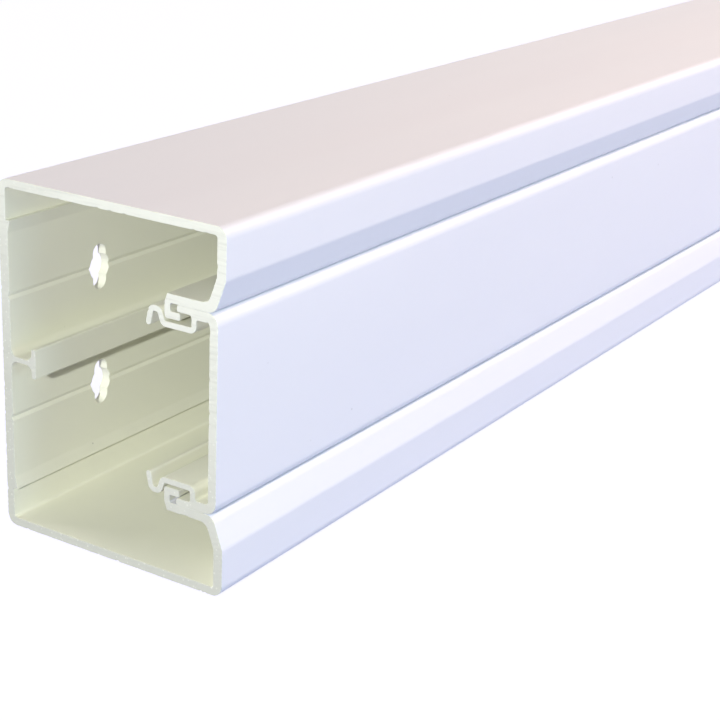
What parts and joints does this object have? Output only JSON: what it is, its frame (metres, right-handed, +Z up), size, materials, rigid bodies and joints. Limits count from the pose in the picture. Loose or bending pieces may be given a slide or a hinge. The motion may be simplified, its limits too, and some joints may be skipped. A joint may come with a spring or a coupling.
{
  "type": "cable raceway",
  "caption": "Straight length of white PVC wall cable raceway: a hooked channel base with screw slots and a divider rail, closed by a clip-in front cover.",
  "frame": {"origin": "middle of the lower wall's outer face, on the surface it stands on", "axes": "+X along the length, -Y out of the cover, +Y into the wall it is screwed to, +Z up"},
  "size_m": [2, 0.075, 0.1],
  "materials": {
    "base_pvc": "satin",
    "cover_pvc": "satin"
  },
  "bodies": {
    "root": {"raceway_base": "base_pvc", "snap_cover": "cover_pvc"}
  },
  "joints": []
}
